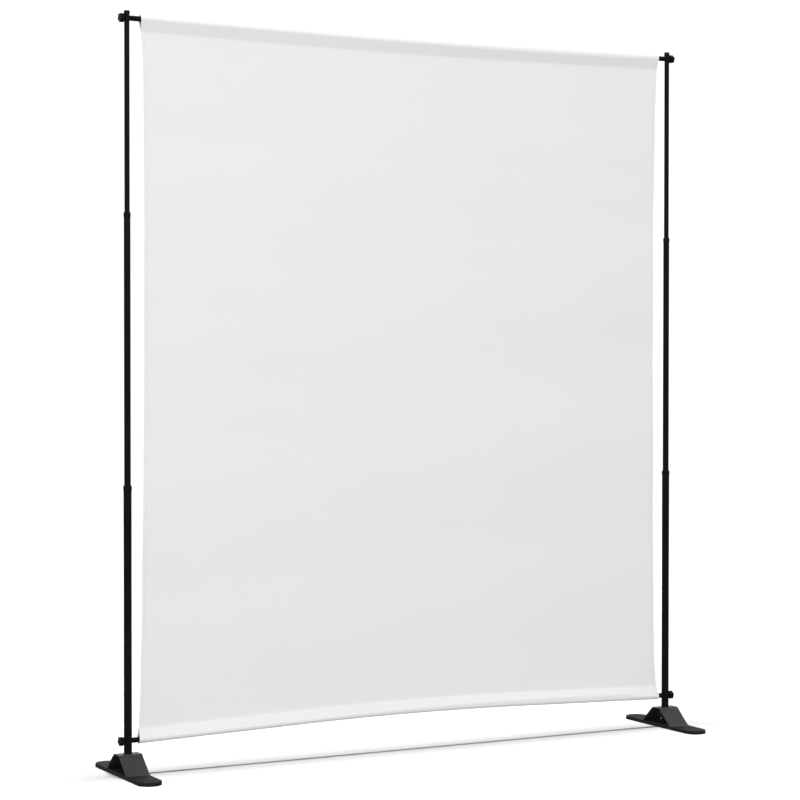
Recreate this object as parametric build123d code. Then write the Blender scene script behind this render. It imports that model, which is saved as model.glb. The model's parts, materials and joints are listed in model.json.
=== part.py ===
from build123d import *
import os
from math import radians, degrees, sin, cos, tan, pi

# Adjustable banner stand. Millimetres, +Z up, origin on the floor midway
# between the two poles. X runs along the banner, Y is front to back.

# ---------------------------------------------------------------- dimensions
H_TOTAL = 2438.0        # floor to the top of the pole caps
HALF_W = 1040.0         # origin to each pole's axis

R_LOW, RI_LOW = 13.0, 11.8      # lower tube
R_MID, RI_MID = 10.7, 9.5       # middle tube, and the crossbars' center tubes
R_TOP, RI_TOP = 8.5, 7.3        # top tube, and the crossbars' end tubes
RUN = 0.25                      # running gap, on the radius

# foot
FOOT_L, FOOT_B = 442.0, 80.0
PLATE_TOP = 12.0
RIM_BOTTOM = 1.5
SHEET = 3.0
HAT_TOP = 69.0
HAT_HALF_TOP = 21.3
HAT_HALF_BASE = 87.6
HAT_BEND = 8.0
PAD_R = 10.0
PAD_X, PAD_Y = 24.0, 170.0

# pole
COLLAR_LOW = (910.0, 928.0)               # lower collar, bottom and top
COLLAR_UP = {-1: (1783.0, 1799.0), 1: (1754.0, 1770.0)}   # upper collar, left and right
LIP = 5.0                                 # collar material above its tube, tapered
MID_LEN = 970.0
TOP_END, TOP_LEN = 2430.0, 760.0

# crossbars: height of the axis at the poles, and rise at mid-span
BAR_BOT_Z, BAR_BOT_RISE = 110.6, 24.3
BAR_TOP_Z, BAR_TOP_RISE = 2414.5, -9.7
CENTER_HALF = 640.0       # center tube: half its span along X
ARC_HALF = 430.0          # bowed middle of the center tube
END_REACH = 410.0         # inner end of the end tubes, from the middle
COLLAR_BAR_L = 14.0

# knobs
KNOB_R, KNOB_T = 15.0, 15.0
HUB_T = 2.2
STUD_R = 2.95

# banner
FAB_T = 1.2
POCKET_RI, POCKET_RO = 12.4, 13.4
BAN_TOP_X, BAN_MID_X, BAN_BOT_X = 995.0, 981.0, 1004.0


# ---------------------------------------------------------------- helpers
def vcyl(r, z0, z1, x=0.0, y=0.0):
    c = Cylinder(r, z1 - z0, align=(Align.CENTER, Align.CENTER, Align.MIN))
    return c.moved(Location((x, y, z0)))


def vcone(r0, r1, z0, z1, x=0.0, y=0.0):
    c = Cone(r0, r1, z1 - z0, align=(Align.CENTER, Align.CENTER, Align.MIN))
    return c.moved(Location((x, y, z0)))


def axis_plane(p, d):
    return Plane(origin=p, x_dir=(0, 1, 0), z_dir=d)


def acyl(p, d, r, s0, s1):
    """Cylinder of radius r about the line p + s d, from s0 to s1."""
    pl = axis_plane(p, d)
    c = Cylinder(r, s1 - s0, align=(Align.CENTER, Align.CENTER, Align.MIN))
    return pl * Pos(0, 0, s0) * c


def acone(p, d, r0, r1, s0, s1):
    pl = axis_plane(p, d)
    c = Cone(r0, r1, s1 - s0, align=(Align.CENTER, Align.CENTER, Align.MIN))
    return pl * Pos(0, 0, s0) * c


def one(shape):
    """The shape as a single solid, or a compound of its solids."""
    sol = shape.solids()
    return sol[0] if len(sol) == 1 else Compound(children=list(sol))


parts = {}


# ---------------------------------------------------------------- the foot
def stadium(length, width):
    return SlotOverall(length, width, rotation=90)


def base_plate(x):
    outer = extrude(stadium(FOOT_L, FOOT_B), PLATE_TOP - RIM_BOTTOM)
    top_edges = outer.edges().group_by(Axis.Z)[-1]
    outer = fillet(top_edges, 2.6)
    inner = extrude(stadium(FOOT_L - 2 * SHEET, FOOT_B - 2 * SHEET), PLATE_TOP - RIM_BOTTOM - SHEET)
    body = outer - inner
    body = body.moved(Location((x, 0, RIM_BOTTOM)))
    return body - vcyl(4.5, 0, 20, x)


def bracket(x):
    prof = Plane.YZ * Polygon(
        (-HAT_HALF_BASE, PLATE_TOP), (-HAT_HALF_TOP, HAT_TOP), (HAT_HALF_TOP, HAT_TOP),
        (HAT_HALF_BASE, PLATE_TOP), align=None)
    slope = (HAT_HALF_BASE - HAT_HALF_TOP) / (HAT_TOP - PLATE_TOP)
    run = SHEET * (1 + slope * slope) ** 0.5          # sheet measured along Y
    z_in = HAT_TOP - SHEET
    y_in = HAT_HALF_TOP + slope * SHEET - run
    inn = Plane.YZ * Polygon(
        (-(HAT_HALF_BASE - run), PLATE_TOP), (-y_in, z_in), (y_in, z_in),
        (HAT_HALF_BASE - run, PLATE_TOP), align=None)
    o = extrude(prof, FOOT_B / 2 - 0.4, both=True)
    i = extrude(inn, FOOT_B, both=True)
    o = fillet([e for e in o.edges().filter_by(Axis.X) if e.center().Z > HAT_TOP - 1], HAT_BEND)
    i = fillet([e for e in i.edges().filter_by(Axis.X) if e.center().Z > z_in - 1], HAT_BEND - SHEET)
    hat = (o - i).moved(Location((x, 0, 0)))
    return hat - vcyl(R_LOW + 0.2, 30, 90, x)


def rubber_feet(x):
    pads = []
    for sx in (-1, 1):
        for sy in (-1, 1):
            p = vcone(PAD_R - 1.0, PAD_R, 0, 3, x + sx * PAD_X, sy * PAD_Y)
            p = p + vcyl(PAD_R, 3, PLATE_TOP - SHEET, x + sx * PAD_X, sy * PAD_Y)
            pads.append(one(p))
    return Compound(children=pads)


def foot_bolt(x):
    head = extrude(RegularPolygon(6.5, 6, major_radius=False), 4.0).moved(Location((x, 0, 3.4)))
    washer = vcyl(9.0, 7.4, 9.0, x)
    return one(head + washer + vcyl(4.0, 7.4, 36, x))


def foot_insert(x):
    p = vcyl(RI_LOW - 0.05, PLATE_TOP, 42, x) - vcyl(4.1, 0, 60, x)
    return p


# ---------------------------------------------------------------- the pole
def lower_tube(x):
    t = vcyl(R_LOW, PLATE_TOP, COLLAR_LOW[1] - LIP, x) - vcyl(RI_LOW, 0, 1000, x)
    return t - acyl((x - 40, 0, BAR_BOT_Z), (1, 0, 0), STUD_R + 0.35, 0, 80)


def collar(x, z0, z1, r_tube, ri_tube, r_in, skirt):
    """Collar on the mouth of a tube, with a guide bush that reaches down inside it."""
    zt = z1 - LIP                       # the tube's mouth
    c = vcyl(r_tube + skirt, z0, zt + 0.6, x) + vcone(r_tube + skirt, r_in + 1.0, zt + 0.6, z1, x)
    c = c - vcyl(r_tube + 0.04, z0 - 1, zt, x)
    c = c + (vcyl(ri_tube - 0.05, zt - 26, zt + 0.5, x))
    return c - vcyl(r_in + RUN, z0 - 60, z1 + 1, x)


def middle_tube(x, s):
    top = COLLAR_UP[s][1] - LIP
    return vcyl(R_MID, top - MID_LEN, top, x) - vcyl(RI_MID, top - MID_LEN - 1, top + 1, x)


def top_tube(x):
    t = vcyl(R_TOP, TOP_END - TOP_LEN, TOP_END, x) - vcyl(RI_TOP, TOP_END - TOP_LEN - 1, TOP_END + 1, x)
    return t - acyl((x - 40, 0, BAR_TOP_Z), (1, 0, 0), STUD_R + 0.35, 0, 80)


def top_cap(x):
    c = vcyl(R_TOP + 0.95, 2425.5, H_TOTAL, x)
    c = fillet(c.edges().group_by(Axis.Z)[-1], 2.4)
    c = c - vcyl(R_TOP + 0.05, 2425, TOP_END, x)
    return c + vcyl(RI_TOP - 0.05, 2420.5, TOP_END + 0.5, x)


ECC = 0.3


def lock_plug(p, d, r_tube, ri_tube, r_j, depth=30.0):
    """Plug in a tube's end at p, d pointing out of the tube: plug, flange, eccentric journal, end flange."""
    a = acyl(p, d, ri_tube - 0.05, -depth, 0)
    a = a + acyl(p, d, r_tube - 0.1, 0, 3)
    off = Vector(0, ECC, 0)
    q = Vector(*p) + off
    a = a + acyl(q, d, r_j, 2.5, 17.5)
    a = a + acyl(p, d, r_tube - 0.9, 17, 20)
    return one(a)


def lock_ring(p, d, ri_outer, r_j):
    """Split ring on the journal, a gap short of both flanges and of the tube it grips."""
    b = acyl(p, d, ri_outer - 0.35, 3.3, 16.7) - acyl(p, d, r_j + ECC + 0.2, 0, 20)
    slot = Box(3.0, 2 * ri_outer, 20, align=(Align.CENTER, Align.MIN, Align.MIN))
    pl = axis_plane(p, d)
    return one(b - pl * slot)


# ---------------------------------------------------------------- the crossbars
class Bar:
    """One crossbar's centre line: straight and sloping at both ends, a gentle arc between."""

    def __init__(self, z_pole, rise):
        self.z_pole = z_pole
        lo, hi = -0.2, 0.2
        for _ in range(80):
            mid = (lo + hi) / 2
            if self._rise(mid) < rise:
                lo = mid
            else:
                hi = mid
        self.th = (lo + hi) / 2
        self.radius = ARC_HALF / sin(self.th)
        self.rise = rise

    @staticmethod
    def _rise(th):
        if abs(th) < 1e-9:
            return 0.0
        r = ARC_HALF / sin(th)
        return (HALF_W - ARC_HALF) * tan(th) + r * (1 - cos(th))

    def z(self, x):
        a = abs(x)
        if a >= ARC_HALF:
            return self.z_pole + (HALF_W - a) * tan(self.th)
        r = self.radius
        s = 1 if r > 0 else -1
        return self.z_pole + self.rise - (r - s * (r * r - a * a) ** 0.5)

    def point(self, x):
        return Vector(x, 0, self.z(x))

    def dir_left(self):
        """Unit vector along the left end tube, pointing right."""
        return Vector(cos(self.th), 0, sin(self.th))

    def path(self, half, dz=0.0):
        up = Vector(0, 0, dz)
        l0 = Line(self.point(-half) + up, self.point(-ARC_HALF) + up)
        arc = ThreePointArc(self.point(-ARC_HALF) + up, self.point(0) + up, self.point(ARC_HALF) + up)
        l1 = Line(self.point(ARC_HALF) + up, self.point(half) + up)
        return [l0, arc, l1]


def swept(bar, half, r_out, r_in):
    """Round tube along the bar's line: two straight ends and a bowed middle."""
    th, rad = bar.th, bar.radius
    ring = Circle(r_out) - Circle(r_in)
    left = axis_plane(bar.point(-half), (cos(th), 0, sin(th)))
    length = (half - ARC_HALF) / cos(th)
    a = extrude(left * ring, length)
    right = axis_plane(bar.point(ARC_HALF), (cos(th), 0, -sin(th)))
    b = extrude(right * ring, length)
    # the bowed middle: the ring turned about a far axis along Y
    centre = Vector(0, 0, bar.z(0) - rad)
    start = axis_plane(bar.point(-ARC_HALF), (cos(th), 0, sin(th)))
    ax = Axis(centre, (0, 1, 0))
    m = revolve(start * ring, ax, 2 * degrees(th))
    return a + m + b


def end_tube(bar, s, r_pole):
    """End tube on side s (-1 left, 1 right), and its pole-side end plug."""
    d = Vector(-s * cos(bar.th), 0, sin(bar.th))      # from the pole inwards
    p = Vector(s * HALF_W, 0, bar.z_pole)
    t0 = (r_pole + 4.0)
    t1 = (HALF_W - END_REACH) / cos(bar.th)
    tube = acyl(p, d, R_TOP, t0, t1) - acyl(p, d, RI_TOP, t0 - 1, t1 + 1)
    plug = acyl(p, d, RI_TOP - 0.05, r_pole + 3.0, r_pole + 36) + acyl(p, d, R_TOP - 0.05, 2.0, t0)
    plug = plug - vcyl(r_pole + 0.1, bar.z_pole - 40, bar.z_pole + 40, s * HALF_W)
    plug = plug - acyl(p, (-s, 0, 0), STUD_R + 0.1, 0, r_pole + 26)
    tip = p + d * t1
    return tube, one(plug), tip, d


def bar_collar(bar, s):
    """Collar on the center tube's mouth, on side s."""
    d = Vector(s * cos(bar.th), 0, -sin(bar.th))      # out of the center tube
    p = bar.point(s * CENTER_HALF)
    c = acyl(p, d, R_MID + 0.8, -COLLAR_BAR_L, 0.6) + acone(p, d, R_MID + 0.8, R_TOP + 1.1, 0.6, 4.0)
    c = c - acyl(p, d, R_MID + 0.04, -COLLAR_BAR_L - 1, 0)
    c = c + acyl(p, d, RI_MID - 0.05, -22, 0.5)
    return one(c - acyl(p, d, R_TOP + RUN, -60, 10))


# ---------------------------------------------------------------- knobs
def knob(s, z, r_pole):
    """Five-lobed knob on the outer side of a pole, turning about X."""
    x0 = r_pole + 0.3
    x1 = x0 + HUB_T
    x2 = x1 + KNOB_T
    n = 5
    pts = []
    for k in range(8 * n):
        a = 2 * pi * k / (8 * n)
        # rounded lobes with narrower scallops between them
        w = cos(n * a)
        r = KNOB_R - 1.5 + 1.5 * w - 0.35 * (1 - w * w)
        pts.append((r * cos(a + pi / 2), r * sin(a + pi / 2)))
    body = extrude(make_face(Spline(*pts, periodic=True)), KNOB_T)
    body = fillet(body.edges().group_by(Axis.Z)[-1], 1.6)
    body = chamfer(body.edges().group_by(Axis.Z)[0], 0.8)
    hub = Cone(7.2, 8.4, HUB_T, align=(Align.CENTER, Align.CENTER, Align.MAX))
    boss = body + hub
    # blind recess in the outer face, and the bore that holds the stud
    boss = boss - Pos(0, 0, KNOB_T - 2.0) * Cylinder(5.0, 4, align=(Align.CENTER, Align.CENTER, Align.MIN))
    boss = boss - Pos(0, 0, -HUB_T - 1) * Cylinder(STUD_R + 0.02, 12 + HUB_T + 1, align=(Align.CENTER, Align.CENTER, Align.MIN))
    pl = Plane(origin=(s * (HALF_W + x1), 0, z), x_dir=(0, 1, 0), z_dir=(s, 0, 0))
    k = one(pl * boss)
    # stud: from inside the knob to the end plug's thread
    stud = acyl((s * (HALF_W + x1 + 11.5), 0, z), (-s, 0, 0), STUD_R, 0, x1 + 11.5 + r_pole + 22)
    return k, stud


# ---------------------------------------------------------------- assembly
SIDE = {-1: "left", 1: "right"}
bars = {"bottom": Bar(BAR_BOT_Z, BAR_BOT_RISE), "top": Bar(BAR_TOP_Z, BAR_TOP_RISE)}

for s in (-1, 1):
    n, x = SIDE[s], s * HALF_W
    parts[n + "_base_plate"] = base_plate(x)
    parts[n + "_foot_bracket"] = bracket(x)
    parts[n + "_rubber_feet"] = rubber_feet(x)
    parts[n + "_foot_bolt"] = foot_bolt(x)
    parts[n + "_foot_insert"] = foot_insert(x)
    parts[n + "_lower_tube"] = lower_tube(x)
    parts[n + "_lower_collar"] = collar(x, *COLLAR_LOW, R_LOW, RI_LOW, R_MID, 0.85)
    parts[n + "_middle_tube"] = middle_tube(x, s)
    parts[n + "_middle_collar"] = collar(x, *COLLAR_UP[s], R_MID, RI_MID, R_TOP, 0.85)
    parts[n + "_top_tube"] = top_tube(x)
    parts[n + "_top_cap"] = top_cap(x)
    low_end = COLLAR_UP[s][1] - LIP - MID_LEN
    parts[n + "_lower_lock_plug"] = lock_plug((x, 0, low_end), (0, 0, -1), R_MID, RI_MID, 7.0)
    parts[n + "_lower_lock_ring"] = lock_ring((x, 0, low_end), (0, 0, -1), RI_LOW, 7.0)
    top_low = TOP_END - TOP_LEN
    parts[n + "_upper_lock_plug"] = lock_plug((x, 0, top_low), (0, 0, -1), R_TOP, RI_TOP, 5.3)
    parts[n + "_upper_lock_ring"] = lock_ring((x, 0, top_low), (0, 0, -1), RI_MID, 5.3)

for name, bar in bars.items():
    rp = R_LOW if name == "bottom" else R_TOP
    parts[name + "_center_tube"] = swept(bar, CENTER_HALF, R_MID, RI_MID)
    parts[name + "_bar_collars"] = Compound(children=[bar_collar(bar, -1), bar_collar(bar, 1)])
    for s in (-1, 1):
        n = name + "_" + SIDE[s]
        tube, plug, tip, d = end_tube(bar, s, rp)
        parts[n + "_end_tube"] = tube
        parts[n + "_end_plug"] = plug
        parts[n + "_lock_plug"] = lock_plug(tuple(tip), tuple(d), R_TOP, RI_TOP, 5.3)
        parts[n + "_lock_ring"] = lock_ring(tuple(tip), tuple(d), RI_MID, 5.3)
        k, stud = knob(s, bar.z_pole, rp)
        parts[n + "_knob"] = k
        parts[n + "_knob_stud"] = stud

# ---------------------------------------------------------------- the banner
bb, bt = bars["bottom"], bars["top"]


def panel():
    """The flat web between the two pockets, edges drawn in a little by the tension."""
    off = (POCKET_RI + POCKET_RO) / 2
    bot = [Vector(x, 0, bb.z(x) + off) for x in (-BAN_BOT_X, -ARC_HALF, 0, ARC_HALF, BAN_BOT_X)]
    top = [Vector(x, 0, bt.z(x) - off) for x in (-BAN_TOP_X, -ARC_HALF, 0, ARC_HALF, BAN_TOP_X)]
    zm = 1500.0
    edges = [
        Line(bot[0], bot[1]), ThreePointArc(bot[1], bot[2], bot[3]), Line(bot[3], bot[4]),
        ThreePointArc(bot[4], Vector(BAN_MID_X, 0, zm), top[4]),
        Line(top[4], top[3]), ThreePointArc(top[3], top[2], top[1]), Line(top[1], top[0]),
        ThreePointArc(top[0], Vector(-BAN_MID_X, 0, zm), bot[0]),
    ]
    face = make_face(Curve() + edges)
    return extrude(face, FAB_T / 2, dir=(0, 1, 0), both=True)


def pocket(bar, half):
    return swept(bar, half, POCKET_RO, POCKET_RI)


parts["banner"] = one(panel() + pocket(bb, BAN_BOT_X) + pocket(bt, BAN_TOP_X))

# ---------------------------------------------------------------- write
os.makedirs("parts", exist_ok=True)
for name, shape in parts.items():
    sol = shape.solids()
    vol = sum(v.volume for v in sol)
    ok = all(v.is_valid for v in sol)
    bx = shape.bounding_box()
    print(f"{name:28s} solids {len(sol)} vol {vol:12.1f} valid {ok} "
          f"x {bx.min.X:8.1f}..{bx.max.X:8.1f} y {bx.min.Y:7.1f}..{bx.max.Y:7.1f} z {bx.min.Z:8.1f}..{bx.max.Z:8.1f}")
    out = sol[0] if len(sol) == 1 else Compound(children=list(sol))
    export_step(out, f"parts/{name}.step")

for name, bar in bars.items():
    print(name, "slope deg", round(degrees(bar.th), 4), "theta rad", bar.th, "radius", round(bar.radius, 1),
          "mid z", round(bar.z(0), 2))
print("nodes", len(parts))
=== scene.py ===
import bpy
import bmesh
import json
import math
import numpy as np
from mathutils import Vector, Matrix


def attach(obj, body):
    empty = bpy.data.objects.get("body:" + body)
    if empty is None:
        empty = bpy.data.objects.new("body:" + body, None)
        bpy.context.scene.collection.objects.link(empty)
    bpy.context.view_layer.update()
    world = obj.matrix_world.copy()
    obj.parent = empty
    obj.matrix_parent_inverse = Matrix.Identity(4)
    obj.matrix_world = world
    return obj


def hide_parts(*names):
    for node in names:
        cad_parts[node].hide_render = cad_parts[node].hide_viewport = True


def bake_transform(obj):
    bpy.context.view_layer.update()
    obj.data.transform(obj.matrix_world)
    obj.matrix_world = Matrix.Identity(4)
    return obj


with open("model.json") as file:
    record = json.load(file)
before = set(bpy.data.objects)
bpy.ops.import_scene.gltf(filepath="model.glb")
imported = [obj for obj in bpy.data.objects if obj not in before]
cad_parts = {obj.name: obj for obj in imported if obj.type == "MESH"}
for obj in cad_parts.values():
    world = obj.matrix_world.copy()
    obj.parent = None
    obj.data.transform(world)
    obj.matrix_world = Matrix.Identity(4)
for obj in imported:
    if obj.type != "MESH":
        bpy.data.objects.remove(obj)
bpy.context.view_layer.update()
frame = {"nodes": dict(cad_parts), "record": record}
scene = bpy.context.scene

# ------------------------------------------------------------------ dimensions (metres)
W = 1.040
TH_B, TH_T = 0.0294476949152011, -0.011757139887610197
ARC = 0.430
Z_B, Z_T = 0.1106, 2.4145
RISE_B, RISE_T = 0.0243, -0.0097
R_LOW, R_TOP = 0.0130, 0.0085
FAB = 0.0006            # fabric thickness
POCKET_R = 0.0118       # inner radius of the pole pockets
SEAM = 0.0376           # bar axis to the pocket seam
SPLIT = 1.26            # height where the two halves of the banner meet


def bar_z(x, z_pole, rise, th):
    a = np.abs(x)
    r = ARC / math.sin(th)
    s = 1.0 if r > 0 else -1.0
    arc = z_pole + rise - (r - s * np.sqrt(np.maximum(r * r - np.minimum(a, ARC) ** 2, 0)))
    return np.where(a >= ARC, z_pole + (W - a) * math.tan(th), arc)


def z_bot(x):
    return bar_z(np.asarray(x, float), Z_B, RISE_B, TH_B)


def z_top(x):
    return bar_z(np.asarray(x, float), Z_T, RISE_T, TH_T)


# ------------------------------------------------------------------ camera
loc = Vector((-3.69725, -6.77523, 1.33493))
yaw, pitch, roll = 0.493449, 0.0186088, 0.000625
fw = Vector((math.sin(yaw) * math.cos(pitch), math.cos(yaw) * math.cos(pitch), -math.sin(pitch)))
r0 = Vector((math.cos(yaw), -math.sin(yaw), 0))
u0 = r0.cross(fw)
rr = math.cos(roll) * r0 + math.sin(roll) * u0
uu = -math.sin(roll) * r0 + math.cos(roll) * u0
cam_data = bpy.data.cameras.new("camera")
cam_data.lens = 102.027
cam_data.sensor_width = 36.0
cam = bpy.data.objects.new("camera", cam_data)
scene.collection.objects.link(cam)
m = Matrix((rr, uu, -fw)).transposed().to_4x4()
m.translation = loc
cam.matrix_world = m
scene.camera = cam
scene.view_settings.view_transform = 'Standard'


# ------------------------------------------------------------------ node helpers
def mat_new(name):
    mt = bpy.data.materials.new(name)
    mt.use_nodes = True
    nt = mt.node_tree
    for n in list(nt.nodes):
        nt.nodes.remove(n)
    out = nt.nodes.new("ShaderNodeOutputMaterial")
    b = nt.nodes.new("ShaderNodeBsdfPrincipled")
    nt.links.new(b.outputs["BSDF"], out.inputs["Surface"])
    return mt, nt, b


def node(nt, kind, **kw):
    n = nt.nodes.new(kind)
    for k, v in kw.items():
        if k in n.inputs:
            n.inputs[k].default_value = v
        else:
            setattr(n, k, v)
    return n


def noise(nt, coord, scale, detail=3.0, rough=0.5, stretch=(1, 1, 1)):
    mp = nt.nodes.new("ShaderNodeMapping")
    mp.inputs["Scale"].default_value = stretch
    nt.links.new(coord, mp.inputs["Vector"])
    n = nt.nodes.new("ShaderNodeTexNoise")
    n.inputs["Scale"].default_value = scale
    n.inputs["Detail"].default_value = detail
    n.inputs["Roughness"].default_value = rough
    nt.links.new(mp.outputs["Vector"], n.inputs["Vector"])
    return n.outputs["Fac"]


def ramp(nt, fac, stops):
    r = nt.nodes.new("ShaderNodeValToRGB")
    el = r.color_ramp.elements
    while len(el) < len(stops):
        el.new(0.5)
    for e, (p, c) in zip(el, stops):
        e.position = p
        e.color = (*c, 1) if len(c) == 3 else c
    nt.links.new(fac, r.inputs["Fac"])
    return r.outputs["Color"]


def math_(nt, op, a, b=None, c=None, clamp=False):
    n = nt.nodes.new("ShaderNodeMath")
    n.operation = op
    n.use_clamp = clamp
    for i, v in enumerate((a, b, c)):
        if v is None:
            continue
        if isinstance(v, (int, float)):
            n.inputs[i].default_value = v
        else:
            nt.links.new(v, n.inputs[i])
    return n.outputs[0]


def bump(nt, height, strength, distance, normal=None):
    n = nt.nodes.new("ShaderNodeBump")
    n.inputs["Strength"].default_value = strength
    n.inputs["Distance"].default_value = distance
    nt.links.new(height, n.inputs["Height"])
    if normal is not None:
        nt.links.new(normal, n.inputs["Normal"])
    return n.outputs["Normal"]


def mixc(nt, fac, a, b):
    n = nt.nodes.new("ShaderNodeMix")
    n.data_type = 'RGBA'
    if isinstance(fac, (int, float)):
        n.inputs[0].default_value = fac
    else:
        nt.links.new(fac, n.inputs[0])
    for i, v in ((6, a), (7, b)):
        if isinstance(v, tuple):
            n.inputs[i].default_value = (*v, 1)
        else:
            nt.links.new(v, n.inputs[i])
    return n.outputs[2]


def coords(nt):
    return nt.nodes.new("ShaderNodeTexCoord").outputs["Object"]


def edge_wear(nt, radius=0.0008, gain=9.0):
    """0 on flat and gently curved faces, 1 along sharp edges."""
    bv = nt.nodes.new("ShaderNodeBevel")
    bv.samples = 4
    bv.inputs["Radius"].default_value = radius
    g = nt.nodes.new("ShaderNodeNewGeometry")
    d = nt.nodes.new("ShaderNodeVectorMath")
    d.operation = 'DOT_PRODUCT'
    nt.links.new(bv.outputs["Normal"], d.inputs[0])
    nt.links.new(g.outputs["Normal"], d.inputs[1])
    return math_(nt, 'MULTIPLY', math_(nt, 'SUBTRACT', 1.0, d.outputs["Value"]), gain, clamp=True)


# ------------------------------------------------------------------ materials
def powder(name, base, spec, rough, worn=True):
    """Satin black powder coat: fine orange peel, faint dust, a little rub on edges."""
    mt, nt, b = mat_new(name)
    c = coords(nt)
    peel = noise(nt, c, 900, 3.0, 0.6)
    coarse = noise(nt, c, 14, 4.0, 0.55)
    speck = noise(nt, c, 2600, 1.0, 0.5)
    dust = ramp(nt, coarse, [(0.35, (0.78, 0.78, 0.80)), (0.75, (1.35, 1.33, 1.30))])
    col = nt.nodes.new("ShaderNodeMix")
    col.data_type = 'RGBA'
    col.blend_type = 'MULTIPLY'
    col.inputs[0].default_value = 1.0
    col.inputs[6].default_value = (*base, 1)
    nt.links.new(dust, col.inputs[7])
    fleck = ramp(nt, speck, [(0.66, (0, 0, 0)), (0.74, (1, 1, 1))])
    col2 = mixc(nt, math_(nt, 'MULTIPLY', fleck, 0.10), col.outputs[2], tuple(v * 4 for v in base))
    col3 = col2
    if worn:
        wear = edge_wear(nt)
        patch = math_(nt, 'MULTIPLY', wear, math_(nt, 'MULTIPLY', noise(nt, c, 160, 4.0, 0.6), 0.5))
        col3 = mixc(nt, patch, col2, (0.07, 0.07, 0.07))
    nt.links.new(col3, b.inputs["Base Color"])
    nt.links.new(math_(nt, 'MULTIPLY_ADD', coarse, 0.16, rough - 0.08), b.inputs["Roughness"])
    b.inputs["Specular IOR Level"].default_value = spec
    n1 = bump(nt, peel, 0.25, 0.00018)
    nt.links.new(bump(nt, speck, 0.12, 0.00006, n1), b.inputs["Normal"])
    return mt


def plastic(name, base, spec, rough):
    """Moulded plastic: fine spark-eroded grain, faint flow marks."""
    mt, nt, b = mat_new(name)
    c = coords(nt)
    grain = nt.nodes.new("ShaderNodeTexVoronoi")
    grain.inputs["Scale"].default_value = 2200
    nt.links.new(c, grain.inputs["Vector"])
    flow = noise(nt, c, 38, 4.0, 0.6, (1, 1, 2.5))
    tone = ramp(nt, flow, [(0.3, tuple(v * 0.8 for v in base)), (0.72, tuple(v * 1.35 for v in base))])
    rub = math_(nt, 'MULTIPLY', edge_wear(nt), 0.35)
    nt.links.new(mixc(nt, rub, tone, tuple(min(1, v * 2 + 0.012) for v in base)), b.inputs["Base Color"])
    nt.links.new(math_(nt, 'MULTIPLY_ADD', flow, 0.2, rough - 0.1), b.inputs["Roughness"])
    b.inputs["Specular IOR Level"].default_value = spec
    nt.links.new(bump(nt, grain.outputs["Distance"], 0.22, 0.00012), b.inputs["Normal"])
    return mt


def zinc(name):
    """Bright zinc plate: spangle, turned lines, slight stain."""
    mt, nt, b = mat_new(name)
    c = coords(nt)
    spangle = nt.nodes.new("ShaderNodeTexVoronoi")
    spangle.inputs["Scale"].default_value = 420
    nt.links.new(c, spangle.inputs["Vector"])
    stain = noise(nt, c, 60, 5.0, 0.6)
    tone = ramp(nt, stain, [(0.3, (0.42, 0.41, 0.39)), (0.7, (0.66, 0.66, 0.65))])
    nt.links.new(mixc(nt, math_(nt, 'MULTIPLY', spangle.outputs["Distance"], 0.3), tone, (0.75, 0.76, 0.78)),
                 b.inputs["Base Color"])
    b.inputs["Metallic"].default_value = 1.0
    nt.links.new(math_(nt, 'MULTIPLY_ADD', stain, 0.3, 0.22), b.inputs["Roughness"])
    lines = noise(nt, c, 900, 2.0, 0.5, (8, 1, 1))
    nt.links.new(bump(nt, lines, 0.2, 0.00008), b.inputs["Normal"])
    return mt


def rubber(name):
    mt, nt, b = mat_new(name)
    c = coords(nt)
    bloom = noise(nt, c, 90, 5.0, 0.65)
    nt.links.new(ramp(nt, bloom, [(0.35, (0.010, 0.010, 0.010)), (0.8, (0.045, 0.044, 0.042))]), b.inputs["Base Color"])
    b.inputs["Specular IOR Level"].default_value = 0.25
    nt.links.new(math_(nt, 'MULTIPLY_ADD', bloom, 0.2, 0.72), b.inputs["Roughness"])
    nt.links.new(bump(nt, noise(nt, c, 1500, 2.0), 0.3, 0.0001), b.inputs["Normal"])
    return mt


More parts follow.
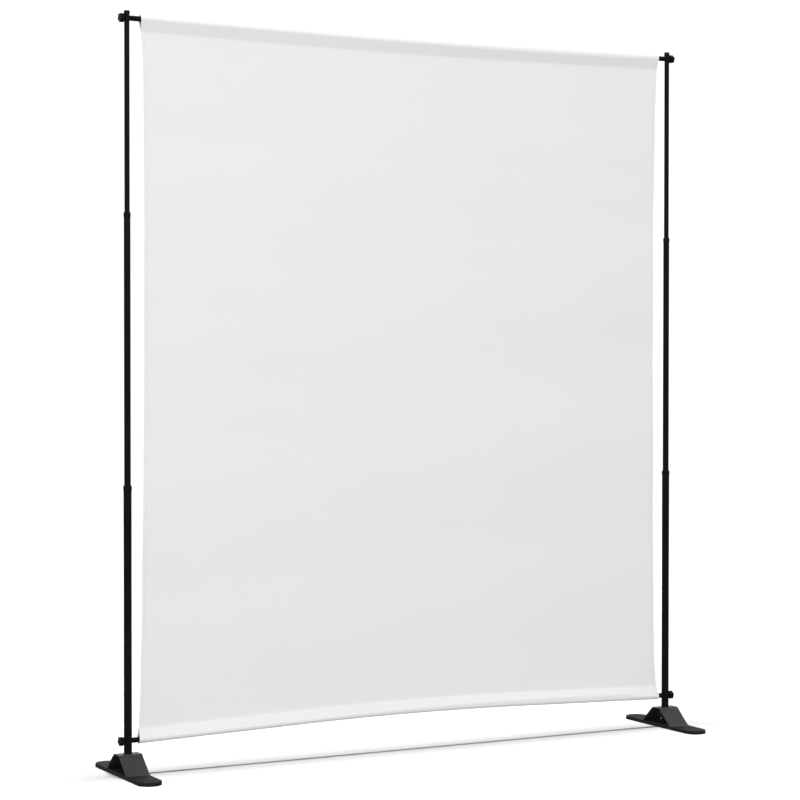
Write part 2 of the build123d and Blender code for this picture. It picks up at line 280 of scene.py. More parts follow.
def fabric(name):
    """White woven polyester: plain weave from the UV map in metres, faint slubs, soft sheen, and painted shade: the
    colour is darker along the stitched hems and seam.
    """
    mt, nt, b = mat_new(name)
    uv = nt.nodes.new("ShaderNodeUVMap")
    uv.uv_map = "sheet"
    sep = nt.nodes.new("ShaderNodeSeparateXYZ")
    nt.links.new(uv.outputs["UV"], sep.inputs["Vector"])
    u, v = sep.outputs["X"], sep.outputs["Y"]
    k = 2 * math.pi / 0.00085
    su = math_(nt, 'SINE', math_(nt, 'MULTIPLY', u, k))
    sv = math_(nt, 'SINE', math_(nt, 'MULTIPLY', v, k))
    weave = math_(nt, 'MULTIPLY', su, sv)
    c = coords(nt)
    slub_u = noise(nt, uv.outputs["UV"], 160, 2.0, 0.5, (0.08, 6, 1))
    slub_v = noise(nt, uv.outputs["UV"], 160, 2.0, 0.5, (6, 0.08, 1))
    slub = math_(nt, 'ADD', slub_u, slub_v)
    height = math_(nt, 'MULTIPLY_ADD', slub, 0.8, weave)
    soft = noise(nt, c, 2.2, 3.0, 0.5)
    tone = ramp(nt, soft, [(0.3, FAB_A), (0.72, FAB_B)])
    thread = math_(nt, 'MULTIPLY_ADD', weave, 0.010, 0.0)
    lighter = mixc(nt, math_(nt, 'ADD', thread, math_(nt, 'MULTIPLY_ADD', slub, 0.04, -0.02), clamp=True), tone,
                   (0.93, 0.93, 0.95))
    # painted shade: along the stitched hems and the pocket seam the colour is mixed halfway towards a darker grey,
    # standing in for the shade of the thread and its crease
    at = nt.nodes.new("ShaderNodeAttribute")
    at.attribute_name = "stitch_painted_shade"
    stitch_shaded = mixc(nt, math_(nt, 'MULTIPLY', at.outputs["Fac"], 0.5), lighter, (0.72, 0.72, 0.735))
    nt.links.new(stitch_shaded, b.inputs["Base Color"])
    nt.links.new(math_(nt, 'MULTIPLY_ADD', slub, 0.08, 0.80), b.inputs["Roughness"])
    b.inputs["Specular IOR Level"].default_value = 0.15
    b.inputs["Sheen Weight"].default_value = 0.04
    b.inputs["Sheen Roughness"].default_value = 0.5
    nt.links.new(bump(nt, height, 0.30, 0.00006), b.inputs["Normal"])
    return mt


FAB_A, FAB_B = (0.772, 0.774, 0.786), (0.782, 0.784, 0.796)


def thread_mat(name):
    mt, nt, b = mat_new(name)
    c = coords(nt)
    ply = nt.nodes.new("ShaderNodeTexWave")
    ply.inputs["Scale"].default_value = 900
    ply.inputs["Distortion"].default_value = 1.5
    nt.links.new(c, ply.inputs["Vector"])
    nt.links.new(ramp(nt, ply.outputs["Fac"], [(0.2, (0.70, 0.70, 0.72)), (0.8, (0.83, 0.83, 0.85))]), b.inputs["Base Color"])
    b.inputs["Roughness"].default_value = 0.55
    b.inputs["Specular IOR Level"].default_value = 0.3
    nt.links.new(bump(nt, ply.outputs["Fac"], 0.4, 0.00005), b.inputs["Normal"])
    return mt


M_POLE = powder("black_powder_coat", (0.0045, 0.0045, 0.0048), 0.05, 0.38, worn=False)
# the foot has two copies of one powder coat: the base plate's copy is darker and duller than the bracket's, painted
# shade on the plate's top
M_FOOT = powder("black_powder_coat_foot", (0.027, 0.027, 0.028), 0.26, 0.46)
M_PLATE_PAINTED_SHADE = powder("black_powder_coat_plate_painted_shade", (0.014, 0.014, 0.0145), 0.05, 0.60)
M_PLASTIC = plastic("black_plastic", (0.0035, 0.0035, 0.0037), 0.07, 0.38)
M_LOCK = plastic("lock_plastic", (0.55, 0.54, 0.51), 0.4, 0.45)
M_ZINC = zinc("zinc_steel")
M_RUBBER = rubber("rubber")
M_FABRIC = fabric("banner_fabric")
M_THREAD = thread_mat("sewing_thread")

SLOT_MAT = {"black_powder_coat": M_POLE, "black_plastic": M_PLASTIC, "lock_plastic": M_LOCK, "zinc_steel": M_ZINC,
            "rubber": M_RUBBER, "banner_fabric": M_FABRIC}

node_slot = {s["node"]: s["material_slot"] for s in frame["record"]["subparts"]}
for name, obj in frame["nodes"].items():
    mt = SLOT_MAT[node_slot[name]]
    # the base plates get the darker copy of the powder coat: painted shade
    if "base_plate" in name:
        mt = M_PLATE_PAINTED_SHADE
    elif "foot_bracket" in name:
        mt = M_FOOT
    obj.data.materials.clear()
    obj.data.materials.append(mt)
    for p in obj.data.polygons:
        p.use_smooth = True
    obj.data.set_sharp_from_angle(angle=math.radians(32)) if hasattr(obj.data, "set_sharp_from_angle") else None
    if "foot_bracket" in name:
        bv = obj.modifiers.new("edge", 'BEVEL')
        bv.width = 0.0007
        bv.segments = 3
        bv.limit_method = 'ANGLE'
        bv.angle_limit = math.radians(40)
        bv.harden_normals = True


# ------------------------------------------------------------------ mesh helper
def make(name, verts, faces, mat, smooth=True, tidy=True):
    me = bpy.data.meshes.new(name)
    me.from_pydata([tuple(v) for v in verts], [], [tuple(f) for f in faces])
    me.validate()
    if tidy:
        bm = bmesh.new()
        bm.from_mesh(me)
        loose = [v for v in bm.verts if not v.link_faces]
        bmesh.ops.delete(bm, geom=loose, context='VERTS')
        rim = [e for e in bm.edges if len(e.link_faces) == 1]
        if rim:
            bmesh.ops.holes_fill(bm, edges=rim, sides=0)
        bmesh.ops.recalc_face_normals(bm, faces=bm.faces)
        bm.to_mesh(me)
        bm.free()
    me.update()
    me.materials.append(mat)
    if smooth:
        for p in me.polygons:
            p.use_smooth = True
    o = bpy.data.objects.new(name, me)
    scene.collection.objects.link(o)
    return o


# ------------------------------------------------------------------ the banner
LEFT_Z = [0.100, 0.126, 0.160, 0.238, 0.430, 0.527, 0.720, 0.815, 1.040, 1.260, 1.710, 1.970, 2.220, 2.332, 2.404, 2.430]
LEFT_X = [-1.0045, -1.0039, -1.0020, -0.9979, -0.9934, -0.9912, -0.9896, -0.9867, -0.9839, -0.9818, -0.9810, -0.9813, -0.9834, -0.9873, -0.9951, -0.9960]
RIGHT_Z = [0.100, 0.126, 0.169, 0.242, 0.387, 0.677, 1.180, 1.724, 2.012, 2.192, 2.264, 2.336, 2.385, 2.430]
RIGHT_X = [1.0060, 1.0040, 0.9990, 0.9930, 0.9894, 0.9863, 0.9838, 0.9825, 0.9859, 0.9892, 0.9916, 0.9940, 0.9970, 0.9975]


def smooth_curve(zs, xs, n=701):
    """The knots joined by a smooth line: linear, then averaged over 60 mm."""
    g = np.linspace(0.05, 2.48, n)
    v = np.interp(g, zs, xs)
    step = g[1] - g[0]
    kw = int(0.06 / step) | 1
    ker = np.hanning(kw + 2)[1:-1]
    ker /= ker.sum()
    pad = kw // 2
    vp = np.concatenate([np.full(pad, v[0]), v, np.full(pad, v[-1])])
    return g, np.convolve(vp, ker, 'valid')


GL, XL = smooth_curve(LEFT_Z, LEFT_X)
GR, XR = smooth_curve(RIGHT_Z, RIGHT_X)


def edge_l(z):
    return np.interp(z, GL, XL)


def edge_r(z):
    return np.interp(z, GR, XR)


def slack(x, most):
    """How far the loose tube of fabric reaches past the bar towards the seam, so the bar has room as it is drawn out."""
    up = np.clip((x + 0.27) / 0.86, 0, 1)
    fade = np.clip((0.93 - x) / 0.10, 0, 1)
    return 0.0004 + most * up * fade * fade * (3 - 2 * fade)


# profile of one pocket, in (y, h): h is measured from the bar's axis towards the seam.
# It starts at the seam on the front, goes round the bar, and comes back to the seam behind.
def pocket_profile(s, r):
    """Points (y, h) of the fabric's middle surface from the front seam round to the back seam."""
    apex = SEAM
    d = apex - s
    al = math.asin(r / d)
    ty, th_ = r * math.cos(al), s + r * math.sin(al)       # tangent point
    y_s = FAB * 0.5 + 0.00005
    pts = []
    for t in np.linspace(0, 1, 9):
        e = t
        y = -(y_s * (1 - e) + ty * e)
        h = apex * (1 - e) + th_ * e
        pts.append((y, h))
    for a in np.linspace(al, 0, 4)[1:]:
        pts.append((-r * math.cos(a), s + r * math.sin(a)))
    for hh in np.linspace(s, 0, 3)[1:]:
        pts.append((-r, hh))
    for a in np.linspace(0, math.pi, 17)[1:]:
        pts.append((-r * math.cos(a), -r * math.sin(a)))
    for hh in np.linspace(0, s, 3)[1:]:
        pts.append((r, hh))
    for a in np.linspace(0, al, 4)[1:]:
        pts.append((r * math.cos(a), s + r * math.sin(a)))
    for t in np.linspace(1, 0, 9)[1:]:
        pts.append((y_s * (1 - t) + ty * t, apex * (1 - t) + th_ * t))
    return np.array(pts)


PUCKERS = [(-0.79, 0.008, 0.35), (-0.645, 0.007, 1.2), (-0.627, 0.006, -1.0), (-0.31, 0.008, 0.5), (-0.19, 0.006, 0.8),
           (-0.155, 0.007, -0.8), (-0.11, 0.008, 0.9), (-0.07, 0.006, -0.7), (0.26, 0.007, 0.6), (0.295, 0.007, -0.6),
           (0.71, 0.007, 0.7), (0.738, 0.006, -0.6), (-0.93, 0.010, 0.5), (0.93, 0.010, 0.5), (0.52, 0.009, 0.4)]
LEAN = {-0.645: 0.5, -0.627: 0.45, -0.79: 0.4, -0.31: 0.1, 0.71: -0.3, 0.738: -0.3}


def puckers(x, h, which):
    """Small gathers in a pocket: ridges across it that fade towards the fold and below the seam."""
    out = np.zeros_like(x)
    for i, (px, wd, am) in enumerate(PUCKERS):
        if which == "bottom":
            px, am = -px * 0.93 + 0.013 * i, am * 0.35
        lean = LEAN.get(px, 0.0)
        q = (x - px - lean * (h - 0.018)) / wd
        out += am * (1 - 0.6 * q * q) * np.exp(-q * q / 1.6)
    env = np.exp(-((h - 0.020) / 0.020) ** 2)
    return 0.00055 * out * env


rng = np.random.default_rng(11)
WAVES = []
for lam, slope, count in ((0.62, 0.016, 5), (0.21, 0.008, 6), (0.09, 0.004, 6)):
    for _ in range(count):
        kz = 2 * math.pi / (lam * rng.uniform(0.8, 1.25))
        kx = kz * rng.uniform(-0.12, 0.12)
        WAVES.append((kx, kz, rng.uniform(0, 2 * math.pi), slope / kz / math.sqrt(count) * 1.2))


def ripple(x, z):
    """The sheet's slight waves, faded out at the two seams."""
    y = np.zeros_like(x)
    for kx, kz, ph, am in WAVES:
        y += am * np.sin(kz * z + kx * x * (1 + 0.3 * np.sin(3 * x + ph)) + ph)
    fade = np.clip((z - 0.22) / 0.30, 0, 1) * np.clip((2.34 - z) / 0.30, 0, 1)
    return y * fade * fade * (3 - 2 * fade)


HEM = 0.012
COLS = 260
# columns: denser at the hems and round the puckers
base_u = np.linspace(0, 1, 121)
hem_u = np.array([0.0, 0.00012, 0.0003, 0.0008, 0.0020, 0.0036, 0.0048, 0.0053, 0.0058, 0.0062, 0.0066, 0.0078, 0.010])
extra = []
for px, wd, am in PUCKERS:
    for k in range(-7, 8):
        extra.append((px + 0.9892 + k * wd * 0.42) / 1.978)
U = np.unique(np.round(np.concatenate([base_u, hem_u, 1 - hem_u, np.array(extra)]), 6))
U = U[(U >= 0) & (U <= 1)]
keep = [0]
for i in range(1, len(U)):
    if U[i] - U[keep[-1]] > 0.00018 or U[i] <= 0.0004 or U[i] >= 0.9996:
        keep.append(i)
U = U[keep]
NX = len(U)


def half_banner(which):
    """One closed solid: pocket, seam, and the sheet to the split. which is 'lower' or 'upper'."""
    low = which == "lower"
    sgn = 1.0 if low else -1.0
    z_of = z_bot if low else z_top
    most = 0.0096 if low else 0.0040
    # the profile's point count, the number of web rows, and lists of rows
    prof_n = len(pocket_profile(0.0, POCKET_R))
    rows_web = 78
    front, back = [], []       # lists of rows: each row is (NX, 3)
    fuv, buv = [], []
    # shape along the profile, for each column
    x_mid = -0.99 + 1.98 * U
    prof = []
    for x in x_mid:
        prof.append(pocket_profile(float(slack(np.array(x), most)), POCKET_R + FAB * 0.5))
    prof = np.array(prof)                                   # NX, P, 2
    # mid-surface normals in (y, h)
    tang = np.gradient(prof, axis=1)
    nrm = np.stack([tang[:, :, 1], -tang[:, :, 0]], -1)
    nrm /= np.linalg.norm(nrm, axis=-1, keepdims=True)      # points outward or inward; fixed below
    centre = np.array([0.0, 0.006])
    out = prof - centre
    flip = np.sign((nrm * out).sum(-1, keepdims=True))
    nrm = nrm * np.where(flip == 0, 1, flip)
    P = prof.shape[1]

    def place(y, h):
        """From (y, h) at each column to row-frame points; columns follow the drawn-in edges."""
        zc = z_of(x_mid)
        z = zc + sgn * h
        xl, xr = edge_l(z), edge_r(z)
        x = xl + (xr - xl) * U
        z = z_of(x) + sgn * h
        return np.stack([x, y, z], -1)

    # web rows between the seam and the split
    t = np.linspace(0, 1, rows_web)
    web = []
    for tt in t:
        z0 = z_of(x_mid) + sgn * SEAM
        near = 0.012
        # rows are closer together next to the seam
        s_ = tt ** 1.25
        z = z0 * (1 - s_) + SPLIT * s_
        xl, xr = edge_l(z), edge_r(z)
        x = xl + (xr - xl) * U
        z0 = z_of(x) + sgn * SEAM
        z = z0 * (1 - s_) + SPLIT * s_
        y = ripple(x, z)
        web.append(np.stack([x, y, z], -1))
    web = np.array(web)                                     # rows, NX, 3

    # distance from each side edge, for the hems
    def hem_fields(pts):
        z = pts[..., 2]
        d = np.minimum(pts[..., 0] - edge_l(z), edge_r(z) - pts[..., 0])
        ply = np.clip((HEM + 0.0012 - d) / 0.0010, 0, 1)
        line = np.exp(-((d - HEM + 0.0015) / 0.0016) ** 2)
        return d, ply * ply * (3 - 2 * ply), line

    def offset_rows(rows, off):
        return rows + np.array([0, 1, 0]) * off[..., None]

    d, ply, line = hem_fields(web)
    f_web = offset_rows(web, -FAB * 0.5 + 0.00022 * line)
    b_web = offset_rows(web, FAB * 0.5 + (FAB * 1.6) * ply - 0.00025 * line)

    # pocket rows: outside and inside surfaces
    outer, inner = [], []
    for j in range(P):
        y, h = prof[:, j, 0], prof[:, j, 1]
        ny, nh = nrm[:, j, 0], nrm[:, j, 1]
        pk = puckers(x_mid, h, "top" if not low else "bottom") * np.where(ny < 0, 1.0, 0.8) * np.clip((SEAM - h) / 0.004 + 0.6, 0, 1)
        pk = np.maximum(pk, -0.0002) if True else pk
        oy, oh = y + ny * (FAB * 0.5) + ny * pk, h + nh * (FAB * 0.5)
        iy, ih = y - ny * (FAB * 0.5) + ny * pk, h - nh * (FAB * 0.5)
        outer.append(place(oy, oh))
        inner.append(place(iy, ih))
    outer, inner = np.array(outer), np.array(inner)

    # the sheet's outline as one loop of rows: start at the split, front face towards the seam,
    # round the outside of the pocket, the turned hem behind, back along the inside, and the web's back.
    tail_len = 0.009
    tail_f, tail_b, tail_mid = [], [], []
    z_dir = sgn
    y0 = FAB * 0.5 + 0.00010
    tails = [(0.0015, 1.0), (0.004, 1.9), (tail_len - 0.0008, 1.9), (tail_len, 1.2)]
    for dh, th_k in tails:
        tail_b.append(place(np.full(NX, y0 + FAB * th_k), np.full(NX, SEAM + dh)))
    for dh, th_k in reversed(tails):
        tail_f.append(place(np.full(NX, y0), np.full(NX, SEAM + dh - (0.0003 if th_k == 1.2 else 0))))
    web_rev = f_web[::-1]
    loop = [r for r in web_rev[:-1]]                        # front face, split -> just before the seam
    kinds = ["web"] * (rows_web - 1)
    for j in range(P):
        loop.append(outer[j])
        kinds.append("out")
    for r in tail_b:
        loop.append(r)
        kinds.append("tail")
    for r in tail_f:
        loop.append(r)
        kinds.append("tail")
    for j in reversed(range(P)):
        loop.append(inner[j])
        kinds.append("in")
    start = 3
    for r in b_web[start:]:
        loop.append(r)
        kinds.append("back")
    loop = np.array(loop)
    R = len(loop)
    verts = loop.reshape(-1, 3)
    # running length across the loop, for the UV map
    seg = np.linalg.norm(np.diff(loop[:, NX // 2], axis=0), axis=1)
    run = np.concatenate([[0], np.cumsum(seg)])
    faces = []
    for i in range(R - 1):
        a = i * NX
        for k in range(NX - 1):
            q = (a + k, a + k + 1, a + NX + k + 1, a + NX + k)
            faces.append(q if not low else q[::-1])
    # close the split end and the two sides
    a, bb = 0, (R - 1) * NX
    for k in range(NX - 1):
        q = (bb + k, bb + k + 1, a + k + 1, a + k)
        faces.append(q if not low else q[::-1])
    # side caps: join each row of the front or outside with its partner behind or inside
    idx_front = list(range(rows_web - 1)) + [rows_web - 1 + j for j in range(P)]
    base_in = rows_web - 1 + P + len(tail_b) + len(tail_f)
    idx_in = [base_in + (P - 1 - j) for j in range(P)]
    idx_tail_b = [rows_web - 1 + P + j for j in range(len(tail_b))]
    idx_tail_f = [rows_web - 1 + P + len(tail_b) + j for j in range(len(tail_f))]
    idx_back = [base_in + P + j for j in range(rows_web - start)]

    def cap(i0, i1, j0, j1, side):
        k = 0 if side < 0 else NX - 1
        q = (i0 * NX + k, i1 * NX + k, j1 * NX + k, j0 * NX + k)
        if (side < 0) == low:
            q = q[::-1]
        faces.append(q)

    for side in (-1, 1):
        k = 0 if side < 0 else NX - 1
        for j in range(P - 1):
            cap(idx_front[rows_web - 1 + j], idx_front[rows_web - 1 + j + 1], idx_in[j], idx_in[j + 1], side)
        for j in range(len(tail_b) - 1):
            cap(idx_tail_b[j], idx_tail_b[j + 1], idx_tail_f[len(tail_f) - 1 - j], idx_tail_f[len(tail_f) - 2 - j], side)
        cap(idx_front[-1], idx_tail_b[0], idx_in[-1], idx_tail_f[-1], side)
        # web: rows from the split (index 0) to the seam
        for j in range(rows_web - 1 - start):
            bi, bj = R - 1 - j, R - 2 - j
            cap(j, j + 1, bi, bj, side)
        # the few rows next to the seam, as a fan to the first back row
        last_back = idx_back[0]
        for j in range(rows_web - 1 - start, rows_web - 1):
            nxt = j + 1
            tri = (j * NX + k, nxt * NX + k, last_back * NX + k)
            if (side < 0) == low:
                tri = tri[::-1]
            faces.append(tri)
        tri = ((rows_web - 1) * NX + k, idx_in[0] * NX + k, last_back * NX + k)
        if (side < 0) == low:
            tri = tri[::-1]
        faces.append(tri)
    name = "banner_" + which
    o = make(name, verts, faces, M_FABRIC, tidy=False)
    o.data.set_sharp_from_angle(angle=math.radians(50))
    me = o.data
    uvl = me.uv_layers.new(name="sheet")
    vid = np.zeros(len(me.loops), np.int64)
    me.loops.foreach_get("vertex_index", vid)
    width = verts[:, 0]
    uvs = np.stack([width + 1.1, run[np.arange(len(verts)) // NX]], -1)
    uvl.data.foreach_set("uv", uvs[vid].astype(np.float32).ravel())
    # the sewn lines, for the material: a mask of painted shade that darkens the fabric's colour along them
    dd, _, stitch_shade_mask = hem_fields(verts)
    seam_h = np.abs(sgn * (verts[:, 2] - z_of(verts[:, 0])) - SEAM)
    stitch_shade_mask = np.maximum(stitch_shade_mask, 0.8 * np.exp(-(seam_h / 0.0016) ** 2))
    at = me.attributes.new("stitch_painted_shade", 'FLOAT', 'POINT')
    at.data.foreach_set("value", stitch_shade_mask.astype(np.float32))
    return o


def stitches(which):
    """Lock stitches as short raised threads: along the pocket seam and down both hems, front and back."""
    low = which == "lower"
    sgn = 1.0 if low else -1.0
    z_of = z_bot if low else z_top
    verts, faces = [], []
    ring = [(math.cos(a), math.sin(a)) for a in np.linspace(0, 2 * math.pi, 7)[:-1]]

    def one(p, along, normal, length=0.0026, r=0.00022):
        along, normal = np.array(along, float), np.array(normal, float)
        side = np.cross(along, normal)
        base = len(verts)
        for t_, k_, lift in ((-0.5, 0.35, -0.4), (-0.36, 0.9, 0.3), (0.0, 1.0, 0.6), (0.36, 0.9, 0.3), (0.5, 0.35, -0.4)):
            c = np.array(p) + along * (t_ * length) + normal * (r * lift)
            for cx, cy in ring:
                verts.append(c + side * (cx * r * k_) + normal * (cy * r * k_))
        n = len(ring)
        for i in range(4):
            for j in range(n):
                faces.append((base + i * n + j, base + i * n + (j + 1) % n, base + (i + 1) * n + (j + 1) % n, base + (i + 1) * n + j))
        faces.append(tuple(base + j for j in reversed(range(n))))
        faces.append(tuple(base + 4 * n + j for j in range(n)))

    pitch_ = 0.0030
    h = SEAM + 0.0030
    xs = np.arange(-0.975, 0.9751, pitch_)
    zs = z_of(xs) + sgn * h
    yr = ripple(xs, zs)
    tail_y = FAB * 0.5 + 0.00010 + FAB * 1.55
    for x, z, y in zip(xs, zs, yr):
        th = math.atan2(float(z_of(x + 0.001) - z_of(x)), 0.001)
        al = (math.cos(th), 0, math.sin(th))
        one((x, y - FAB * 0.5 - 0.00008, z), al, (0, -1, 0))
        one((x + pitch_ * 0.5, tail_y + 0.00005, z), al, (0, 1, 0))
    z0, z1 = (0.170, SPLIT - 0.0016) if low else (SPLIT + 0.0014, 2.352)
    for side in (-1, 1):
        zz = np.arange(z0, z1, pitch_)
        ex = edge_l(zz) + HEM - 0.0015 if side < 0 else edge_r(zz) - HEM + 0.0015
        yr = ripple(ex, zz)
        ok = np.abs(sgn * (zz - z_of(ex)) - SEAM) > 0.0005
        for x, z, y, good in zip(ex, zz, yr, ok):
            if not good or sgn * (z - float(z_of(x))) < SEAM + 0.010:
                continue
            e2 = (edge_l(z + 0.002) if side < 0 else edge_r(z + 0.002)) - (edge_l(z) if side < 0 else edge_r(z))
            al = np.array((float(e2), 0, 0.002))
            al /= np.linalg.norm(al)
            one((x, y - FAB * 0.5 + 0.00012, z), al, (0, -1, 0))
            one((x, y + FAB * 2.1 - 0.00020, z), al, (0, 1, 0))
    return make("banner_stitching_" + which, verts, faces, M_THREAD)


lower, upper = half_banner("lower"), half_banner("upper")
st_low, st_up = stitches("lower"), stitches("upper")


# ------------------------------------------------------------------ screw threads
def helix_stud(name, s, z, body, r_pole):
    """Threaded stud, from inside the knob to the end plug: a helical ridge of 1 mm pitch, flat starts."""
    x_out = s * (W + r_pole + 0.0003 + 0.0022 + 0.0115)
    length = r_pole * 2 + 0.0003 + 0.0022 + 0.0115 + 0.022 - r_pole
    length = (r_pole + 0.0003 + 0.0022) + 0.0115 + r_pole + 0.022
    n_ang, pitch_, r_maj, r_min = 20, 0.001, 0.00292, 0.00240
    turns = length / pitch_
    # one strip per turn with four points in each pitch: root, flank, crest, flank
    prof = [(0.0, r_min), (0.36, r_maj), (0.50, r_maj), (0.86, r_min)]
    verts, faces = [], []
    steps = int(turns * n_ang)
    P = len(prof)
    for i in range(steps + 1):
        a = 2 * math.pi * i / n_ang
        for k, (q, r) in enumerate(prof):
            xx = min(max((i / n_ang - 1 + q) * pitch_, 0.0), length)
            verts.append((x_out - s * xx, r * math.cos(a), z + r * math.sin(a)))
    for i in range(steps):
        for k in range(P - 1):
            a, b = i * P + k, (i + 1) * P + k
            faces.append((a, b, b + 1, a + 1) if s < 0 else (a, a + 1, b + 1, b))
        if i + n_ang <= steps:
            a, b = i * P + P - 1, (i + 1) * P + P - 1
            c, d = (i + n_ang) * P, (i + n_ang + 1) * P
            if i + n_ang + 1 <= steps:
                faces.append((a, b, d, c) if s < 0 else (a, c, d, b))
    o = make(name, verts, faces, M_ZINC)
    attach(o, body)
    return o


for b_, z_, rp in (("bottom", Z_B, R_LOW), ("top", Z_T, R_TOP)):
    for side, s in (("left", -1), ("right", 1)):
        st = helix_stud(f"{b_}_{side}_threaded_stud", s, z_, f"{b_}_{side}_knob", rp)
        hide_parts(f"{b_}_{side}_knob_stud")


# ------------------------------------------------------------------ foot: weld fillets
def weld_fillet(side, s, end):
    """Where the bracket's leg meets the plate: the bend's outer curve, so the slope runs softly into the plate."""
    n, x0 = 14, s * W
    half = 0.0392
    y_toe, z_toe = 0.0876, 0.0120
    slope = math.atan2(0.0570, 0.0663)              # the leg's angle above the plate
    reach = 0.0075                                  # tangent length on both faces
    # quadratic curve between the tangent points, the corner as its control point
    a = np.array([y_toe + reach, z_toe + 0.00005])
    b = np.array([y_toe - reach * math.cos(slope), z_toe + reach * math.sin(slope)])
    c = np.array([y_toe, z_toe])
    pts = [(1 - t) ** 2 * a + 2 * t * (1 - t) * c + t * t * b for t in np.linspace(0, 1, n)]
    loop = [np.array([a[0], z_toe - 0.0004])] + pts + [b + np.array([-0.0004, -0.0004]), np.array([y_toe - 0.0012, z_toe - 0.0004])]
    verts, faces = [], []
    xs = [-half, -half + 0.0004] + list(np.linspace(-half + 0.004, half - 0.004, 9)) + [half - 0.0004, half]
    for i, xx in enumerate(xs):
        k = 0.9 if i in (0, len(xs) - 1) else 1.0
        mid = np.mean(loop, axis=0)
        for p in loop:
            q = mid + (p - mid) * k
            verts.append((x0 + xx, end * q[0], q[1]))
    L = len(loop)
    for i in range(len(xs) - 1):
        for j in range(L):
            q = (i * L + j, (i + 1) * L + j, (i + 1) * L + (j + 1) % L, i * L + (j + 1) % L)
            faces.append(q if end > 0 else q[::-1])
    f0 = tuple(range(L))
    f1 = tuple((len(xs) - 1) * L + j for j in reversed(range(L)))
    faces.append(f0 if end > 0 else f0[::-1])
    faces.append(f1 if end > 0 else f1[::-1])
    o = make(f"{side}_bracket_bend_{'back' if end > 0 else 'front'}", verts, faces, M_FOOT)
    o.data.set_sharp_from_angle(angle=math.radians(50))
    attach(o, side + "_lower")


def weld_ring(side, s):
    """Weld bead where the pole passes through the bracket's top."""
    n, m_ = 72, 8
    verts, faces = [], []
    R = 0.01335
    for i in range(n):
        a = 2 * math.pi * i / n
        wob = 1 + 0.10 * math.sin(18 * a) + 0.05 * math.sin(7 * a + 1)
        for j in range(m_):
            b = 2 * math.pi * j / m_
            rr_ = R + 0.0011 * wob * math.cos(b)
            zz = 0.0691 + 0.0010 * wob * math.sin(b)
            verts.append((s * W + rr_ * math.cos(a), rr_ * math.sin(a), zz))
    for i in range(n):
        for j in range(m_):
            faces.append((i * m_ + j, ((i + 1) % n) * m_ + j, ((i + 1) % n) * m_ + (j + 1) % m_, i * m_ + (j + 1) % m_))
    o = make(f"{side}_pole_weld", verts, faces, M_FOOT)
    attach(o, side + "_lower")


for side, s in (("left", -1), ("right", 1)):
    for end in (-1, 1):
        weld_fillet(side, s, end)
    weld_ring(side, s)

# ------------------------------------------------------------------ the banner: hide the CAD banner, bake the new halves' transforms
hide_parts("banner")
for o in (lower, st_low):
    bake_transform(o)
for o in (upper, st_up):
    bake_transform(o)

# ------------------------------------------------------------------ stage and light
fm, fnt, fb = mat_new("floor")
fb.inputs["Base Color"].default_value = (0.13, 0.13, 0.13, 1)
fb.inputs["Roughness"].default_value = 0.9
fb.inputs["Specular IOR Level"].default_value = 0.0
# the studio sweep glows a little, and more and more towards its far edges
fc = coords(fnt)
fl_len = fnt.nodes.new("ShaderNodeVectorMath")
fl_len.operation = 'LENGTH'
fnt.links.new(fc, fl_len.inputs[0])
glow = fnt.nodes.new("ShaderNodeMapRange")
glow.inputs["From Min"].default_value = 1.6
glow.inputs["From Max"].default_value = 6.0
glow.inputs["To Min"].default_value = 0.0
glow.inputs["To Max"].default_value = 0.90
fnt.links.new(fl_len.outputs["Value"], glow.inputs["Value"])
fb.inputs["Emission Color"].default_value = (1, 1, 1, 1)
fnt.links.new(glow.outputs["Result"], fb.inputs["Emission Strength"])
# towards the stand it only gives back an even, softer light
f_even = fnt.nodes.new("ShaderNodeEmission")
f_even.inputs["Color"].default_value = (0.992, 0.996, 1.0, 1)
f_even.inputs["Strength"].default_value = 0.47
f_path = fnt.nodes.new("ShaderNodeLightPath")
f_mix = fnt.nodes.new("ShaderNodeMixShader")
f_out = [n for n in fnt.nodes if n.type == 'OUTPUT_MATERIAL'][0]
fnt.links.new(f_path.outputs["Is Camera Ray"], f_mix.inputs["Fac"])
fnt.links.new(f_even.outputs[0], f_mix.inputs[1])
fnt.links.new(fb.outputs[0], f_mix.inputs[2])
fnt.links.new(f_mix.outputs[0], f_out.inputs["Surface"])
S = 14.0
fl = bpy.data.meshes.new("floor")
fl.from_pydata([(-S, -S, 0), (S, -S, 0), (S, S, 0), (-S, S, 0)], [], [(0, 1, 2, 3)])
fl.materials.append(fm)
floor = bpy.data.objects.new("floor", fl)
scene.collection.objects.link(floor)

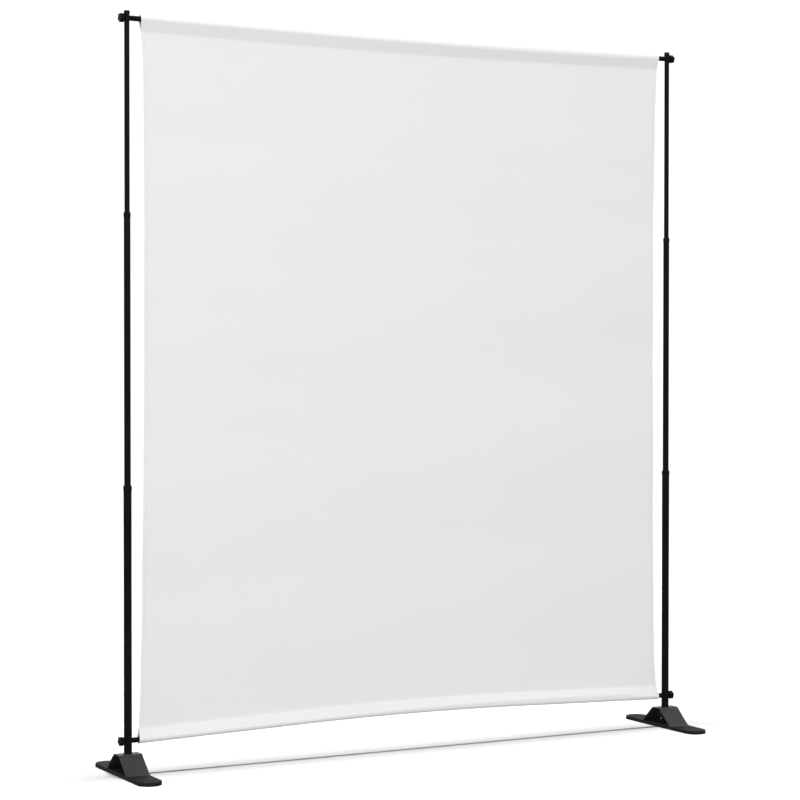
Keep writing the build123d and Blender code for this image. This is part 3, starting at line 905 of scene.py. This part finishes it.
world = bpy.data.worlds.new("studio")
scene.world = world
world.use_nodes = True
wn = world.node_tree
for n_ in list(wn.nodes):
    wn.nodes.remove(n_)
wo = wn.nodes.new("ShaderNodeOutputWorld")
bg = wn.nodes.new("ShaderNodeBackground")
bg.inputs["Color"].default_value = (0.992, 0.996, 1.0, 1)
bg.inputs["Strength"].default_value = 0.72
bg2 = wn.nodes.new("ShaderNodeBackground")
bg2.inputs["Color"].default_value = (1, 1, 1, 1)
bg2.inputs["Strength"].default_value = 1.1
lp = wn.nodes.new("ShaderNodeLightPath")
mx = wn.nodes.new("ShaderNodeMixShader")
wc = wn.nodes.new("ShaderNodeTexCoord")
ws = wn.nodes.new("ShaderNodeSeparateXYZ")
wn.links.new(wc.outputs["Generated"], ws.inputs["Vector"])
wr = wn.nodes.new("ShaderNodeMapRange")
wr.interpolation_type = 'SMOOTHSTEP'
wr.inputs["From Min"].default_value = 0.0
wr.inputs["From Max"].default_value = 0.65
wr.inputs["To Min"].default_value = 0.85
wr.inputs["To Max"].default_value = 1.26
wn.links.new(ws.outputs["Z"], wr.inputs["Value"])
wn.links.new(wr.outputs["Result"], bg.inputs["Strength"])
wn.links.new(lp.outputs["Is Camera Ray"], mx.inputs["Fac"])
wn.links.new(bg.outputs[0], mx.inputs[1])
wn.links.new(bg2.outputs[0], mx.inputs[2])
wn.links.new(mx.outputs[0], wo.inputs["Surface"])


def area(name, loc_, target, size, power, color=(1, 1, 1), spread=180):
    ld = bpy.data.lights.new(name, 'AREA')
    ld.shape = 'RECTANGLE'
    ld.size, ld.size_y = size
    ld.energy = power
    ld.color = color
    ld.spread = math.radians(spread)
    o = bpy.data.objects.new(name, ld)
    o.location = loc_
    d = Vector(target) - Vector(loc_)
    o.rotation_mode = 'QUATERNION'
    o.rotation_quaternion = d.to_track_quat('-Z', 'Y')
    scene.collection.objects.link(o)
    o.visible_camera = False
    return o


over = area("overhead", (0, 0.0, 7.0), (0, 0.0, 0), (3.2, 0.66), 4500)
only = bpy.data.collections.new("floor_only")
only.objects.link(floor)
over.light_linking.receiver_collection = only
over.rotation_mode = 'XYZ'
over.rotation_euler = (0, 0, 0)
front = area("front", (-2.6, -6.2, 3.4), (0, 0, 1.2), (4.2, 3.4), 140)
rear = area("rear", (1.5, 6.5, 3.2), (0, 0, 1.2), (4.0, 3.0), 20)
